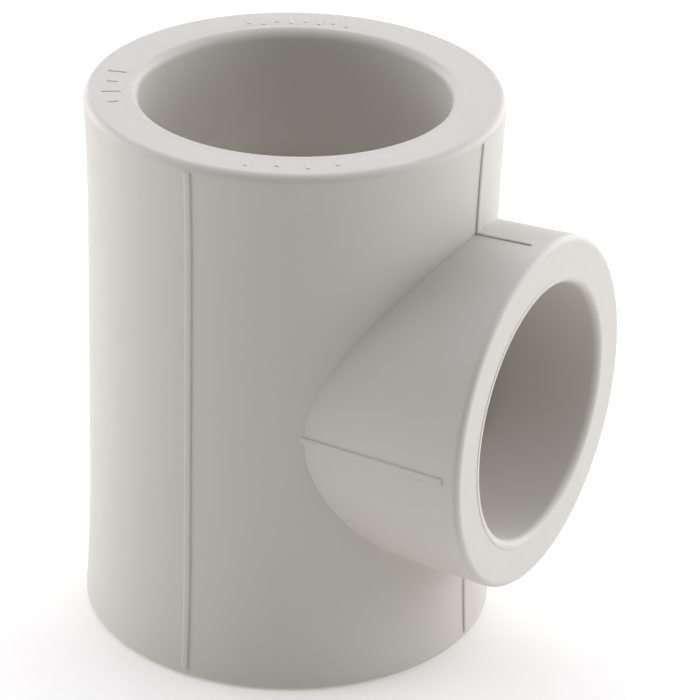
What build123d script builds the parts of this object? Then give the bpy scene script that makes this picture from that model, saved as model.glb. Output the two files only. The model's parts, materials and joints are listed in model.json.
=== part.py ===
from build123d import *
import os
from math import cos, degrees, radians, sin, sqrt

# A reducing tee for socket-fusion pipe: two equal run sockets in line on Z, and a
# smaller branch socket on +X.  The origin is the centre of the lower rim's plane.
# The real tee is one moulding; each function here makes one named region of it, and
# the regions meet face to face.  Lengths are in millimetres and angles in degrees.

# Run
RUN_LENGTH = 133.4            # rim to rim
RUN_RADIUS = 48.4             # outside, between the sockets
RUN_MOUTH_RADIUS = 49.5       # outside, at either rim: the sockets flare a little
RUN_SOCKET_RADIUS = 36.6      # takes 75 mm pipe
RUN_SOCKET_DEPTH = 34.0       # rim to shoulder
RUN_WATERWAY_RADIUS = 30.0
RUN_RIM_ROUND = 2.0
RUN_MOUTH_ROUND = 2.8

# Branch
BRANCH_REACH = 67.0           # run axis to branch rim
BRANCH_CREASE_RADIUS = 40.65  # outside, where the branch leaves the run's sides
BRANCH_MOUTH_RADIUS = 42.4    # outside, at the rim
BRANCH_SOCKET_RADIUS = 30.8   # takes 63 mm pipe
BRANCH_SOCKET_DEPTH = 28.0
BRANCH_WATERWAY_RADIUS = 25.0
BRANCH_RIM_ROUND = 1.6
BRANCH_MOUTH_ROUND = 2.0
BRANCH_SPIGOT_RADIUS = 32.0   # how much of the run's wall belongs to the branch socket

# Alignment ribs, raised lines at each quarter turn
RIB_WIDTH = 1.8
RIB_HEIGHT = 0.5
RUN_RIB_SETBACK = 2.1         # rim to rib end
BRANCH_RIB_SETBACK = 4.2

# Rows of plain raised bars on the upper rim, long and short by turns
MARK_RADIUS = 42.8            # run axis to the middle of a bar
MARK_WIDTH = 1.0
MARK_HEIGHT = 0.3
MARK_LENGTHS = (4.6, 2.6)

# Worked out from the above
MID_HEIGHT = RUN_LENGTH / 2
LOWER_SEAM = RUN_SOCKET_DEPTH
UPPER_SEAM = RUN_LENGTH - RUN_SOCKET_DEPTH
BRANCH_SHOULDER = BRANCH_REACH - BRANCH_SOCKET_DEPTH
BRANCH_RIB_END = BRANCH_REACH - BRANCH_RIB_SETBACK
RUN_FLARE = RUN_MOUTH_RADIUS - RUN_RADIUS
FLARE_ARC = (RUN_SOCKET_DEPTH**2 + RUN_FLARE**2) / (2 * RUN_FLARE)
CREASE_REACH = sqrt(RUN_RADIUS**2 - BRANCH_CREASE_RADIUS**2)
BRANCH_TAPER = (BRANCH_MOUTH_RADIUS - BRANCH_CREASE_RADIUS) / (BRANCH_REACH - CREASE_REACH)
BRANCH_AXIS = Axis((0, 0, MID_HEIGHT), (1, 0, 0))
BRANCH_PLANE = Plane(origin=(0, 0, MID_HEIGHT), x_dir=(0, 1, 0), z_dir=(1, 0, 0))


def run_radius(height):
    """Outside radius of the run at a height, on the arc of each socket's flare."""
    past_seam = max(height - UPPER_SEAM, LOWER_SEAM - height, 0)
    return RUN_RADIUS + FLARE_ARC - sqrt(FLARE_ARC**2 - past_seam**2)


def run_line(swell=0.0, setback=0.0):
    """The run's outside line in builder mode, straight between two flaring arcs."""
    radius = RUN_RADIUS + swell
    end_radius = run_radius(setback) + swell
    TangentArc((radius, LOWER_SEAM), (end_radius, setback), tangent=(0, -1))
    Line((radius, LOWER_SEAM), (radius, UPPER_SEAM))
    TangentArc((radius, UPPER_SEAM), (end_radius, RUN_LENGTH - setback), tangent=(0, 1))


def run_envelope(swell=0.0):
    """The run's outside as a solid, with sharp rims."""
    end_radius = RUN_MOUTH_RADIUS + swell
    with BuildPart() as envelope:
        with BuildSketch(Plane.XZ):
            with BuildLine():
                run_line(swell)
                Polyline((end_radius, 0), (0, 0), (0, RUN_LENGTH), (end_radius, RUN_LENGTH))
            make_face()
        revolve(axis=Axis.Z)
    return envelope.part


def branch_radius(reach):
    """Outside radius of the branch at a distance from the run's axis."""
    return BRANCH_CREASE_RADIUS + BRANCH_TAPER * (reach - CREASE_REACH)


def branch_envelope():
    """The branch's outside as a solid that starts at the run's axis."""
    with BuildPart() as envelope:
        with BuildSketch(BRANCH_PLANE):
            Circle(branch_radius(0))
        with BuildSketch(BRANCH_PLANE.offset(BRANCH_REACH)):
            Circle(BRANCH_MOUTH_RADIUS)
        loft()
    return envelope.part


def rim_circles(part, axis, place):
    """Circles that lie in a rim's plane, from the smallest to the largest."""
    circles = part.edges().filter_by(GeomType.CIRCLE)
    circles = circles.filter_by_position(axis, place, place)
    return circles.sort_by(SortBy.RADIUS)


def run_socket(label, base, rim, keep):
    """One end of the run, from its shoulder to its rim."""
    with BuildPart() as socket:
        add(run_envelope())
        seam = UPPER_SEAM if keep == Keep.TOP else LOWER_SEAM
        split(bisect_by=Plane.XY.offset(seam), keep=keep)
        with BuildSketch(Plane.XY.offset(base)):
            Circle(RUN_SOCKET_RADIUS)
        extrude(amount=RUN_SOCKET_DEPTH, mode=Mode.SUBTRACT)
        fillet(rim_circles(socket.part, Axis.Z, rim)[0], RUN_MOUTH_ROUND)
        fillet(rim_circles(socket.part, Axis.Z, rim)[-1], RUN_RIM_ROUND)
    socket.part.label = label
    return socket.part


def centre_body():
    """The middle of the run, where the waterways meet.

    Its two end faces and the floor of its pocket are the shoulders that the pipe
    ends stop against.
    """
    with BuildPart() as body:
        with BuildSketch(Plane.XY.offset(LOWER_SEAM)):
            Circle(RUN_RADIUS)
            Circle(RUN_WATERWAY_RADIUS, mode=Mode.SUBTRACT)
        extrude(amount=UPPER_SEAM - LOWER_SEAM)
        with BuildSketch(BRANCH_PLANE):
            Circle(BRANCH_WATERWAY_RADIUS)
        extrude(amount=BRANCH_REACH, mode=Mode.SUBTRACT)
        with BuildSketch(BRANCH_PLANE.offset(BRANCH_SHOULDER)):
            Circle(BRANCH_SPIGOT_RADIUS)
        extrude(amount=BRANCH_SOCKET_DEPTH, mode=Mode.SUBTRACT)
    body.part.label = "centre_body"
    return body.part


def branch_socket():
    """The branch, from the crease on the run's outside to its rim.

    A short spigot of it reaches through the run's wall to the shoulder, so that the
    whole wall of the socket's bore is on this one region.
    """
    with BuildPart() as socket:
        add(branch_envelope())
        add(run_envelope(), mode=Mode.SUBTRACT)
        with BuildSketch(BRANCH_PLANE.offset(BRANCH_SHOULDER)):
            Circle(BRANCH_SPIGOT_RADIUS)
        extrude(amount=BRANCH_SOCKET_DEPTH)
        with BuildSketch(BRANCH_PLANE.offset(BRANCH_SHOULDER)):
            Circle(BRANCH_SOCKET_RADIUS)
        extrude(amount=BRANCH_SOCKET_DEPTH, mode=Mode.SUBTRACT)
        with BuildSketch(BRANCH_PLANE):
            Circle(BRANCH_WATERWAY_RADIUS)
        extrude(amount=BRANCH_REACH, mode=Mode.SUBTRACT)
        fillet(rim_circles(socket.part, Axis.X, BRANCH_REACH)[0], BRANCH_MOUTH_ROUND)
        fillet(rim_circles(socket.part, Axis.X, BRANCH_REACH)[-1], BRANCH_RIM_ROUND)
    socket.part.label = "branch_socket"
    return socket.part


def run_rib(label, direction, keep=Keep.ALL):
    """A raised line along the run, facing a direction in the XY plane.

    Under the branch it is cut away, and keep says which of the two ends is made.
    """
    arc = degrees(RIB_WIDTH / RUN_RADIUS)
    flank = radians(direction - arc / 2)
    flank_plane = Plane(
        origin=(0, 0, 0),
        x_dir=(cos(flank), sin(flank), 0),
        z_dir=(sin(flank), -cos(flank), 0),
    )
    foot_radius = run_radius(RUN_RIB_SETBACK)
    crest_radius = foot_radius + RIB_HEIGHT
    rib_top = RUN_LENGTH - RUN_RIB_SETBACK
    with BuildPart() as rib:
        with BuildSketch(flank_plane):
            with BuildLine():
                run_line(0, RUN_RIB_SETBACK)
                run_line(RIB_HEIGHT, RUN_RIB_SETBACK)
                Line((foot_radius, RUN_RIB_SETBACK), (crest_radius, RUN_RIB_SETBACK))
                Line((foot_radius, rib_top), (crest_radius, rib_top))
            make_face()
        revolve(axis=Axis.Z, revolution_arc=arc)
        if keep != Keep.ALL:
            add(branch_envelope(), mode=Mode.SUBTRACT)
            split(bisect_by=Plane.XY.offset(MID_HEIGHT), keep=keep)
    rib.part.label = label
    return rib.part


def branch_rib(label, direction, run_swell):
    """A raised line along the branch, facing a direction in the YZ plane.

    It starts at the run's outside, or at the crest of the run's rib that it meets.
    """
    arc = degrees(RIB_WIDTH / BRANCH_CREASE_RADIUS)
    flank = radians(direction - arc / 2)
    flank_plane = Plane(
        origin=(0, 0, MID_HEIGHT),
        x_dir=(1, 0, 0),
        z_dir=(0, -sin(flank), cos(flank)),
    )
    foot = [(0, branch_radius(0)), (BRANCH_RIB_END, branch_radius(BRANCH_RIB_END))]
    crest = [(reach, radius + RIB_HEIGHT) for reach, radius in reversed(foot)]
    with BuildPart() as rib:
        with BuildSketch(flank_plane):
            with BuildLine():
                Polyline(*foot, *crest, close=True)
            make_face()
        revolve(axis=BRANCH_AXIS, revolution_arc=arc)
        add(run_envelope(run_swell), mode=Mode.SUBTRACT)
    rib.part.label = label
    return rib.part


def rim_marks(label, direction, spread, count):
    """A row of raised bars on the upper rim, about a direction in the XY plane."""
    with BuildPart() as marks:
        with BuildSketch(Plane.XY.offset(RUN_LENGTH)):
            for place in range(count):
                turn = direction + spread * (place / (count - 1) - 0.5)
                with PolarLocations(MARK_RADIUS, 1, start_angle=turn):
                    SlotOverall(MARK_LENGTHS[place % 2], MARK_WIDTH)
        extrude(amount=MARK_HEIGHT)
    marks.part.label = label
    return marks.part


pieces = [
    centre_body(),
    run_socket("upper_socket", UPPER_SEAM, RUN_LENGTH, Keep.TOP),
    run_socket("lower_socket", 0, 0, Keep.BOTTOM),
    branch_socket(),
    run_rib("run_rib_front", -90),
    run_rib("run_rib_back", 90),
    run_rib("run_rib_rear", 180),
    run_rib("run_rib_above_branch", 0, Keep.TOP),
    run_rib("run_rib_below_branch", 0, Keep.BOTTOM),
    branch_rib("branch_rib_top", 90, RIB_HEIGHT),
    branch_rib("branch_rib_bottom", -90, RIB_HEIGHT),
    branch_rib("branch_rib_front", 180, 0),
    branch_rib("branch_rib_back", 0, 0),
    rim_marks("rim_marks_front", -61.6, 27, 4),
    rim_marks("rim_marks_left", -151.6, 24, 4),
    rim_marks("rim_marks_back", 118.4, 33, 8),
]

os.makedirs("parts", exist_ok=True)
for piece in pieces:
    export_step(piece, f"parts/{piece.label}.step")
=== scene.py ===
"""A light grey moulded reducing tee for fusion-welded pipe, standing on a pale floor."""
import json
from math import asin, cos, pi, radians, sin, sqrt

import bmesh
import bpy
from mathutils import Matrix, Vector


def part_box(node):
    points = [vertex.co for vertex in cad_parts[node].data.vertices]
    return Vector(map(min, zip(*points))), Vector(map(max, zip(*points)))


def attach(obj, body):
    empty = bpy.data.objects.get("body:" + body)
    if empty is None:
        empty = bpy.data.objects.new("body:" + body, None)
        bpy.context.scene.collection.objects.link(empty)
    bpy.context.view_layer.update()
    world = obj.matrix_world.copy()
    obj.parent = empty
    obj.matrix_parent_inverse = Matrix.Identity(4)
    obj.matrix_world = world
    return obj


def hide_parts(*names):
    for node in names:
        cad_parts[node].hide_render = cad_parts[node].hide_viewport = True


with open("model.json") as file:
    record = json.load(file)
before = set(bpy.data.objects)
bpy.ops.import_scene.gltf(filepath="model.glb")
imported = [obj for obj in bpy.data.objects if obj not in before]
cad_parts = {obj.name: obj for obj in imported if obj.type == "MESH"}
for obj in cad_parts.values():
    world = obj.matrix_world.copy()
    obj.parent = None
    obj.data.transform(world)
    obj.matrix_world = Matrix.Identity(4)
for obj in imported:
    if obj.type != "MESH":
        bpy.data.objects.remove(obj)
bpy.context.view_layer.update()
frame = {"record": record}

MM = 0.001

# ---------------------------------------------------------------- sizes, in metres
MOUNTS = {mount["name"]: mount for mount in frame["record"]["mounts"]}

RUN_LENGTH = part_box("upper_socket")[1].z
RUN_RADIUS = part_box("centre_body")[1].y
LOWER_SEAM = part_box("lower_socket")[1].z
UPPER_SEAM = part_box("upper_socket")[0].z
RUN_SOCKET_RADIUS = MOUNTS["upper_run_socket"]["dims"]["r_mm"] * MM
RUN_WATERWAY_RADIUS = 30 * MM
RUN_FLARE = 1.1 * MM                # how much wider the run is at its rims
RUN_RIM_ROUND = 2.0 * MM
RUN_MOUTH_ROUND = 2.8 * MM
FLARE_ARC = (LOWER_SEAM**2 + RUN_FLARE**2) / (2 * RUN_FLARE)

MID_HEIGHT = MOUNTS["branch_socket_bore"]["pos_m"][2]
BRANCH_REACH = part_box("branch_socket")[1].x
BRANCH_SHOULDER = MOUNTS["branch_socket_bore"]["pos_m"][0]
BRANCH_SOCKET_RADIUS = MOUNTS["branch_socket_bore"]["dims"]["r_mm"] * MM
BRANCH_WATERWAY_RADIUS = 25 * MM
BRANCH_SPIGOT_RADIUS = 32.0 * MM    # how much of the run's wall the branch socket holds
BRANCH_CREASE_RADIUS = 40.65 * MM
BRANCH_MOUTH_RADIUS = 42.4 * MM
BRANCH_RIM_ROUND = 1.6 * MM
BRANCH_MOUTH_ROUND = 2.0 * MM
CREASE_REACH = sqrt(RUN_RADIUS**2 - BRANCH_CREASE_RADIUS**2)
BRANCH_TAPER = (BRANCH_MOUTH_RADIUS - BRANCH_CREASE_RADIUS) / (BRANCH_REACH - CREASE_REACH)

RIB_WIDTH = 1.8 * MM
RIB_HEIGHT = 0.42 * MM
RIB_EDGE = 0.4 * MM
RUN_RIB_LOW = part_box("run_rib_front")[0].z
RUN_RIB_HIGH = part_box("run_rib_front")[1].z
BRANCH_RIB_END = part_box("branch_rib_front")[1].x

MARK_RADIUS = 42.8 * MM
MARK_WIDTH = 1.0 * MM
MARK_HEIGHT = 0.21 * MM
MARK_EDGE = 0.2 * MM
MARK_LENGTHS = (4.6 * MM, 2.6 * MM)
# name, middle of the row and its spread in degrees about the run, bars
MARK_ROWS = [
    ("rim_marks_front", -61.6, 27, 4),
    ("rim_marks_left", -151.6, 24, 4),
    ("rim_marks_back", 118.4, 33, 8),
]

MOUTH_TURN = radians(70)            # a mouth's rounding stops short of the rim's face
RUN_END = {
    "bore": RUN_SOCKET_RADIUS, "rim": RUN_LENGTH,
    "mouth_round": RUN_MOUTH_ROUND, "lip_width": 1.2 * MM, "lip": 0.07 * MM,
    "lip_slope": 0.22 * MM, "outer_step": 0.06 * MM, "rim_round": RUN_RIM_ROUND,
}
BRANCH_END = {
    "bore": BRANCH_SOCKET_RADIUS, "rim": BRANCH_REACH,
    "mouth_round": BRANCH_MOUTH_ROUND, "lip_width": 0.9 * MM, "lip": 0.14 * MM,
    "lip_slope": 0.12 * MM, "outer_step": 0, "rim_round": BRANCH_RIM_ROUND,
}

SEGMENTS = 384                      # round the run and round the branch
OVERLAP = 1.0 * MM                  # how far a rib's hidden end runs on into the wall
SINK = 0.06 * MM                    # how far a raised line's foot is below the skin
SHARP_ANGLE = radians(35)
SLIVER = 0.002 * MM                 # edges shorter than this are closed up after a cut


# ---------------------------------------------------------------- outlines
def run_radius(height):
    """Outside radius of the run at a height, on the arc of each socket's flare."""
    past_seam = max(height - UPPER_SEAM, LOWER_SEAM - height, 0)
    return RUN_RADIUS + FLARE_ARC - sqrt(FLARE_ARC**2 - past_seam**2)


def branch_radius(reach):
    """Outside radius of the branch at a distance from the run's axis."""
    return BRANCH_CREASE_RADIUS + BRANCH_TAPER * (reach - CREASE_REACH)


def spaced(start, end, count):
    """Evenly spaced numbers from start to end, both included."""
    return [start + (end - start) * step / count for step in range(count + 1)]


def arc(centre, radius, start, end, count=10):
    """Points (radius, along) on an arc about a centre, with its angles in radians."""
    return [
        (centre[0] + radius * cos(turn), centre[1] + radius * sin(turn))
        for turn in spaced(start, end, count)
    ]


def mouth_and_rim(end, outside, lean):
    """A socket's open end, as (radius, along): out of the bore, over the rim, to the outside.

    The rim's face is a little below the narrow raised lip round the bore. On the run it is
    also a fine step below the outer rounding. lip_slope is how far each step runs sideways,
    and lean is the angle by which the outside widens towards the rim.
    """
    turn = MOUTH_TURN
    centre = (end["bore"] + end["mouth_round"], end["rim"] - end["mouth_round"] * sin(turn))
    mouth = arc(centre, end["mouth_round"], pi, pi - turn)
    face = end["rim"] - end["lip"]
    lip_end = mouth[-1][0] + end["lip_width"]
    corner_height = face + end["outer_step"] - end["rim_round"]
    corner = (outside(corner_height) - end["rim_round"] / cos(lean), corner_height)
    edge = arc(corner, end["rim_round"], pi / 2, -lean)
    lip = [(lip_end - end["lip_slope"], end["rim"]), (lip_end, face)]
    flat = [(r, face) for r in spaced(lip_end, edge[0][0] - end["lip_slope"], 4)]
    return mouth + lip + flat[1:] + edge


def run_socket_outline():
    """The upper socket's section, from the shoulder round to the seam."""
    rim_edge = RUN_END["rim"] - RUN_END["rim_round"]
    lean = asin((rim_edge - UPPER_SEAM) / FLARE_ARC)
    end = mouth_and_rim(RUN_END, run_radius, lean)
    bore = [(RUN_SOCKET_RADIUS, z) for z in spaced(UPPER_SEAM, end[0][1], 8)]
    flare = [(run_radius(z), z) for z in spaced(end[-1][1], UPPER_SEAM, 16)]
    return bore[:-1] + end + flare[1:]


def centre_outline():
    """The run's middle, a plain thick ring."""
    heights = spaced(LOWER_SEAM, UPPER_SEAM, 12)
    inside = [(RUN_WATERWAY_RADIUS, z) for z in heights]
    outside = [(RUN_RADIUS, z) for z in reversed(heights)]
    return inside + outside


def branch_outline():
    """The branch before it is trimmed to the run, with its waterway and shoulder."""
    start = CREASE_REACH - 5 * MM
    end = mouth_and_rim(BRANCH_END, branch_radius, asin(BRANCH_TAPER))
    waterway = [(BRANCH_WATERWAY_RADIUS, x) for x in spaced(start, BRANCH_SHOULDER, 2)]
    bore = [(BRANCH_SOCKET_RADIUS, x) for x in spaced(BRANCH_SHOULDER, end[0][1], 8)]
    outside = [(branch_radius(x), x) for x in spaced(end[-1][1], start, 12)]
    return waterway + bore[:-1] + end + outside[1:]


# ---------------------------------------------------------------- meshes
def on_run(radius, turn, height):
    """The point at a radius and an angle about the run's axis."""
    return Vector((radius * cos(turn), radius * sin(turn), height))


def on_branch(radius, turn, reach):
    """The point at a radius and an angle about the branch's axis."""
    return Vector((reach, radius * cos(turn), MID_HEIGHT + radius * sin(turn)))


def turn_outwards(form):
    """Makes every face of a closed mesh face outwards."""
    bmesh.ops.recalc_face_normals(form, faces=form.faces)
    if form.calc_volume(signed=True) < 0:
        bmesh.ops.reverse_faces(form, faces=form.faces)


def join_rings(form, rings, following_rings):
    """Quads between each ring of vertices and the one that follows it."""
    for ring, following in zip(rings, following_rings):
        for step in range(len(ring)):
            beside = (step + 1) % len(ring)
            form.faces.new((ring[step], ring[beside], following[beside], following[step]))


def turned_rings(form, outline, place):
    """A ring of vertices for each point of an outline, about the axis that place stands for."""
    turns = [2 * pi * step / SEGMENTS for step in range(SEGMENTS)]
    return [[form.verts.new(place(r, turn, s)) for turn in turns] for r, s in outline]


def lathe(outline, place):
    """A closed ring with this section, turned about the axis that place stands for."""
    form = bmesh.new()
    rings = turned_rings(form, outline, place)
    join_rings(form, rings, rings[1:] + rings[:1])
    turn_outwards(form)
    return form


def plug(outline, place):
    """A solid with no hole, from an outline whose first and last rings are closed flat."""
    form = bmesh.new()
    rings = turned_rings(form, outline, place)
    join_rings(form, rings, rings[1:])
    form.faces.new(rings[0])
    form.faces.new(rings[-1])
    turn_outwards(form)
    return form


def as_object(name, form):
    """A Blender object from a bmesh, which is freed."""
    mesh = bpy.data.meshes.new(name)
    form.to_mesh(mesh)
    form.free()
    thing = bpy.data.objects.new(name, mesh)
    bpy.context.scene.collection.objects.link(thing)
    return thing


def cut(thing, cutter):
    """Takes the cutter's solid away from a thing, and deletes the cutter."""
    step = thing.modifiers.new("cut", "BOOLEAN")
    step.operation = "DIFFERENCE"
    step.solver = "EXACT"
    step.object = cutter
    graph = bpy.context.evaluated_depsgraph_get()
    made = bpy.data.meshes.new_from_object(thing.evaluated_get(graph))
    thing.modifiers.clear()
    form = bmesh.new()
    form.from_mesh(made)
    bmesh.ops.remove_doubles(form, verts=form.verts, dist=SLIVER)
    bmesh.ops.dissolve_degenerate(form, edges=form.edges, dist=SLIVER)
    bmesh.ops.triangulate(form, faces=[face for face in form.faces if len(face.verts) > 4])
    form.to_mesh(made)
    form.free()
    thing.data = made
    bpy.data.objects.remove(cutter)


def raised_line(place, length, width, height, edge, count):
    """A low bar with rounded edges and ends.

    place(along, across, up) gives a point: along from 0 to length, across from the
    bar's middle, and up from the skin.
    """
    end_steps = [edge * (1 - cos(pi / 2 * step / 4)) for step in range(5)]
    middle = spaced(edge, length - edge, count)[1:-1]
    stations = end_steps + middle + [length - s for s in reversed(end_steps)]
    form = bmesh.new()
    rings = []
    for along in stations:
        near_end = min(along, length - along, edge)
        drop = edge - sqrt(max(edge**2 - (edge - near_end) ** 2, 0))
        half = width / 2 - drop
        top = height - drop
        bend = min(edge, 0.8 * (top + SINK))
        turns = spaced(pi, pi / 2, 4)
        left = [(-half + bend + bend * cos(t), top - bend + bend * sin(t)) for t in turns]
        section = [(-half, -SINK)] + left + [(-x, z) for x, z in reversed(left)] + [(half, -SINK)]
        rings.append([form.verts.new(place(along, x, z)) for x, z in section])
    join_rings(form, rings, rings[1:])
    form.faces.new(rings[0])
    form.faces.new(rings[-1])
    turn_outwards(form)
    return form


# ---------------------------------------------------------------- material
def moulded_polypropylene():
    """Satin light grey plastic, with a fine grain, faint flow marks and an uneven gloss."""
    material = bpy.data.materials.new("moulded_polypropylene")
    material.use_nodes = True
    nodes, links = material.node_tree.nodes, material.node_tree.links
    shader = nodes["Principled BSDF"]
    shader.inputs["IOR"].default_value = 1.49
    place = nodes.new("ShaderNodeTexCoord").outputs["Object"]

    def noise(scale, detail, stretch=(1, 1, 1)):
        mapping = nodes.new("ShaderNodeMapping")
        mapping.inputs["Scale"].default_value = stretch
        links.new(place, mapping.inputs["Vector"])
        texture = nodes.new("ShaderNodeTexNoise")
        texture.inputs["Scale"].default_value = scale
        texture.inputs["Detail"].default_value = detail
        links.new(mapping.outputs["Vector"], texture.inputs["Vector"])
        return texture.outputs["Fac"]

    def ramp(source, stops):
        node = nodes.new("ShaderNodeValToRGB")
        for element, (position, colour) in zip(node.color_ramp.elements, stops):
            element.position = position
            element.color = (*colour, 1)
        links.new(source, node.inputs["Fac"])
        return node.outputs["Color"]

    flow = ramp(noise(FLOW_SCALE, 3, FLOW_STRETCH), [(0.3, BASE_DARK), (0.7, BASE_LIGHT)])
    links.new(flow, shader.inputs["Base Color"])
    gloss = ramp(noise(GLOSS_SCALE, 4), [(0.3, (SMOOTHEST,) * 3), (0.7, (ROUGHEST,) * 3)])
    links.new(gloss, shader.inputs["Roughness"])

    grain = nodes.new("ShaderNodeBump")
    grain.inputs["Strength"].default_value = 0.35
    grain.inputs["Distance"].default_value = GRAIN_DEPTH
    links.new(noise(GRAIN_SCALE, 2), grain.inputs["Height"])
    waves = nodes.new("ShaderNodeBump")
    waves.inputs["Strength"].default_value = 0.25
    waves.inputs["Distance"].default_value = WAVE_DEPTH
    links.new(noise(WAVE_SCALE, 1), waves.inputs["Height"])
    links.new(grain.outputs["Normal"], waves.inputs["Normal"])
    links.new(waves.outputs["Normal"], shader.inputs["Normal"])
    return material


BASE_DARK = (0.583, 0.562, 0.500)
BASE_LIGHT = (0.599, 0.578, 0.514)
SMOOTHEST, ROUGHEST = 0.40, 0.50    # the shader's roughness
FLOW_SCALE = 38                     # noise cells in a metre, here and below
FLOW_STRETCH = (1, 1, 0.35)         # the flow marks are drawn out along the run
GLOSS_SCALE = 160
GRAIN_SCALE = 2600
GRAIN_DEPTH = 0.02 * MM
WAVE_SCALE = 90
WAVE_DEPTH = 0.12 * MM
PLASTIC = moulded_polypropylene()


# ---------------------------------------------------------------- pieces
def finish_piece(thing, *stands_for):
    """Smooths a piece, gives it the plastic, and puts it in the place of its CAD nodes."""
    mesh = thing.data
    mesh.shade_smooth()
    mesh.set_sharp_from_angle(angle=SHARP_ANGLE)
    mesh.materials.clear()
    mesh.materials.append(PLASTIC)
    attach(thing, "root")
    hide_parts(*stands_for)


def build_run():
    """The two sockets and the middle of the run."""
    upper = as_object("run_upper_end", lathe(run_socket_outline(), on_run))
    finish_piece(upper, "upper_socket")
    mirrored = [(r, RUN_LENGTH - z) for r, z in run_socket_outline()]
    lower = as_object("run_lower_end", lathe(mirrored, on_run))
    finish_piece(lower, "lower_socket")

    middle = as_object("run_middle", lathe(centre_outline(), on_run))
    bore = [
        (BRANCH_WATERWAY_RADIUS, 0),
        (BRANCH_WATERWAY_RADIUS, BRANCH_SHOULDER),
        (BRANCH_SPIGOT_RADIUS, BRANCH_SHOULDER),
        (BRANCH_SPIGOT_RADIUS, BRANCH_REACH),
    ]
    cut(middle, as_object("cutter", plug(bore, on_branch)))
    finish_piece(middle, "centre_body")


def build_branch():
    """The branch, trimmed to the run's outside but for the spigot through its wall."""
    branch = as_object("branch_barrel", lathe(branch_outline(), on_branch))
    heights = [0] + spaced(LOWER_SEAM / 2, RUN_LENGTH - LOWER_SEAM / 2, 60) + [RUN_LENGTH]
    run = as_object("cutter_run", plug([(run_radius(z), z) for z in heights], on_run))
    spigot = [
        (BRANCH_SPIGOT_RADIUS, BRANCH_SHOULDER), (BRANCH_SPIGOT_RADIUS, BRANCH_REACH)
    ]
    cut(run, as_object("cutter_spigot", plug(spigot, on_branch)))
    cut(branch, run)
    finish_piece(branch, "branch_socket")


def build_run_rib(name, direction, low, high):
    """A raised line along the run, between two heights."""
    def place(along, across, up):
        height = low + along
        radius = run_radius(height)
        return on_run(radius + up, radians(direction) + across / radius, height)

    rib = as_object(
        name + "_line", raised_line(place, high - low, RIB_WIDTH, RIB_HEIGHT, RIB_EDGE, 48)
    )
    finish_piece(rib, name)


def build_branch_rib(name, direction, start):
    """A raised line along the branch, from inside the run's wall to short of the rim."""
    def place(along, across, up):
        reach = start + along
        radius = branch_radius(reach)
        return on_branch(radius + up, radians(direction) + across / radius, reach)

    length = BRANCH_RIB_END - start
    rib = as_object(
        name + "_line", raised_line(place, length, RIB_WIDTH, RIB_HEIGHT, RIB_EDGE, 16)
    )
    finish_piece(rib, name)


def build_rim_marks(name, direction, spread, count):
    """A row of raised bars on the upper rim, long and short by turns."""
    row = bmesh.new()
    for index in range(count):
        turn = radians(direction + spread * (index / (count - 1) - 0.5))
        length = MARK_LENGTHS[index % 2]
        inner = MARK_RADIUS - length / 2

        def place(along, across, up):
            outwards = Vector((cos(turn), sin(turn), 0))
            sideways = Vector((-sin(turn), cos(turn), 0))
            foot = Vector((0, 0, RUN_LENGTH - RUN_END["lip"] + up))
            return outwards * (inner + along) + sideways * across + foot

        bar = raised_line(place, length, MARK_WIDTH, MARK_HEIGHT, MARK_EDGE, 6)
        mesh = bpy.data.meshes.new("bar")
        bar.to_mesh(mesh)
        bar.free()
        row.from_mesh(mesh)
        bpy.data.meshes.remove(mesh)
    finish_piece(as_object(name + "_bars", row), name)


build_run()
build_branch()

crease_low = MID_HEIGHT - branch_radius(RUN_RADIUS)
crease_high = MID_HEIGHT + branch_radius(RUN_RADIUS)
build_run_rib("run_rib_front", -90, RUN_RIB_LOW, RUN_RIB_HIGH)
build_run_rib("run_rib_back", 90, RUN_RIB_LOW, RUN_RIB_HIGH)
build_run_rib("run_rib_rear", 180, RUN_RIB_LOW, RUN_RIB_HIGH)
build_run_rib("run_rib_below_branch", 0, RUN_RIB_LOW, crease_low + OVERLAP)
build_run_rib("run_rib_above_branch", 0, crease_high - OVERLAP, RUN_RIB_HIGH)

build_branch_rib("branch_rib_top", 90, RUN_RADIUS - OVERLAP)
build_branch_rib("branch_rib_bottom", -90, RUN_RADIUS - OVERLAP)
build_branch_rib("branch_rib_front", 180, CREASE_REACH - OVERLAP)
build_branch_rib("branch_rib_back", 0, CREASE_REACH - OVERLAP)

for name, direction, spread, count in MARK_ROWS:
    build_rim_marks(name, direction, spread, count)


# ---------------------------------------------------------------- stage, lights and camera
CAMERA_AZIMUTH = 28.03              # degrees round from looking along +Y
CAMERA_ELEVATION = 26.68
CAMERA_ROLL = 1.39
CAMERA_DISTANCE = 0.972
CAMERA_AIM = (14.12 * MM, -0.97 * MM)  # right of and above the point where the axes cross
CAMERA_LENS = 208.5                 # millimetres, on a 36 mm sensor


def direction_from(azimuth, elevation):
    """Unit vector from the object towards a viewer at these angles in degrees."""
    across, up = radians(azimuth), radians(elevation)
    return Vector((sin(across) * cos(up), -cos(across) * cos(up), sin(up)))


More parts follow.
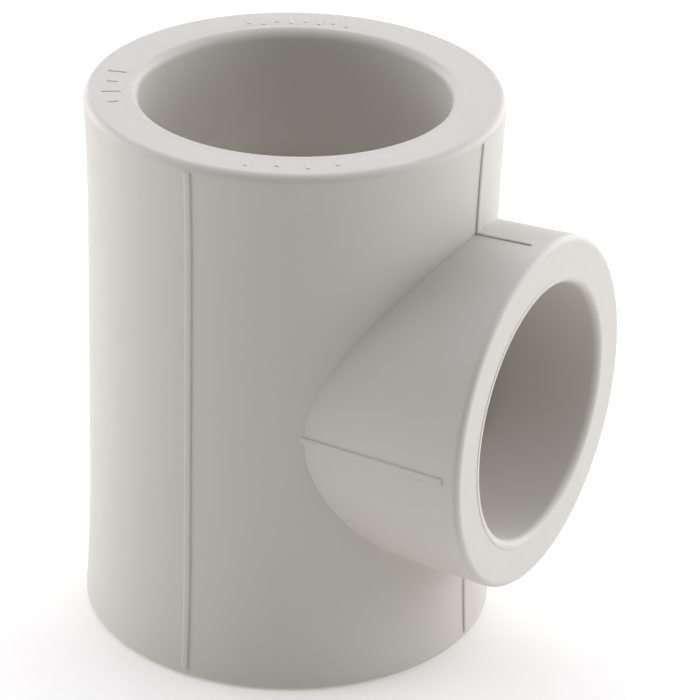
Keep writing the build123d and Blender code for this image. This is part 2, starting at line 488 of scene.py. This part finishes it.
def build_camera():
    """A long lens, well back, that looks at the tee from the right and above."""
    back = direction_from(CAMERA_AZIMUTH, CAMERA_ELEVATION)
    right = Vector((0, 0, 1)).cross(back).normalized()
    up = back.cross(right)
    roll = radians(CAMERA_ROLL)
    right, up = (
        right * cos(roll) + up * sin(roll),
        up * cos(roll) - right * sin(roll),
    )
    target = Vector((0, 0, MID_HEIGHT)) + right * CAMERA_AIM[0] + up * CAMERA_AIM[1]
    data = bpy.data.cameras.new("camera")
    data.lens = CAMERA_LENS
    data.sensor_width = 36
    data.clip_start = 0.05
    data.clip_end = 50
    camera = bpy.data.objects.new("camera", data)
    turned = Matrix((right, up, back)).transposed().to_4x4()
    camera.matrix_world = Matrix.Translation(target + back * CAMERA_DISTANCE) @ turned
    bpy.context.scene.collection.objects.link(camera)
    bpy.context.scene.camera = camera


def build_floor():
    """A wide, plain, nearly white floor."""
    form = bmesh.new()
    bmesh.ops.create_grid(form, x_segments=8, y_segments=8, size=3.0)
    floor = as_object("floor", form)
    material = bpy.data.materials.new("pale_floor")
    material.use_nodes = True
    shader = material.node_tree.nodes["Principled BSDF"]
    shader.inputs["Base Color"].default_value = (*FLOOR_COLOUR, 1)
    shader.inputs["Roughness"].default_value = 0.9
    shader.inputs["Specular IOR Level"].default_value = 0.1
    shader.inputs["Emission Color"].default_value = (1, 1, 1, 1)
    shader.inputs["Emission Strength"].default_value = FLOOR_GLOW
    floor.data.materials.append(material)


def build_light(name, azimuth, elevation, distance, size, power):
    """A square soft light that faces the tee's middle."""
    data = bpy.data.lights.new(name, "AREA")
    data.shape = "SQUARE"
    data.size = size
    data.energy = power
    data.color = LIGHT_COLOUR
    light = bpy.data.objects.new(name, data)
    towards = direction_from(azimuth, elevation)
    light.matrix_world = (
        Matrix.Translation(Vector((0, 0, MID_HEIGHT)) + towards * distance)
        @ towards.to_track_quat("Z", "Y").to_matrix().to_4x4()
    )
    bpy.context.scene.collection.objects.link(light)


def build_world(strength):
    """An even, faint light from all round."""
    world = bpy.data.worlds.new("studio")
    world.use_nodes = True
    background = world.node_tree.nodes["Background"]
    background.inputs["Color"].default_value = (1, 1, 1, 1)
    background.inputs["Strength"].default_value = strength
    bpy.context.scene.world = world


# name, degrees round from the camera, degrees up, metres across, watts
SOFT_LIGHTS = [
    ("overhead", 0, 88, 1.6, 9.5),
    ("right", 90, 10, 0.8, 7.8),
    ("right_back", 120, 10, 0.8, 10.0),
    ("right_high", 90, 45, 1.0, 6.4),
    ("left", -90, 10, 0.8, 6.4),
    ("left_back", -120, 10, 0.8, 11.0),
    ("left_high", -90, 45, 1.0, 4.2),
    ("left_front_high", -45, 45, 1.0, 1.4),
    ("left_rear", -150, 10, 0.8, 5.0),
    ("right_rear", 150, 10, 0.8, 6.0),
    ("right_front_high", 45, 50, 1.0, 1.7),
    ("back_high", 180, 45, 1.0, 9.5),
]
LIGHT_DISTANCE = 1.6
LIGHT_COLOUR = (0.929, 0.92, 1.0)
FLOOR_COLOUR = (0.85, 0.845, 0.80)  # undoes the lights' tint, so that the floor is white
FLOOR_GLOW = 0.22
WORLD_STRENGTH = 0.03

build_floor()
build_world(WORLD_STRENGTH)
for name, azimuth, elevation, size, power in SOFT_LIGHTS:
    build_light(name, CAMERA_AZIMUTH + azimuth, elevation, LIGHT_DISTANCE, size, power)
build_camera()
bpy.context.scene.view_settings.view_transform = "Standard"
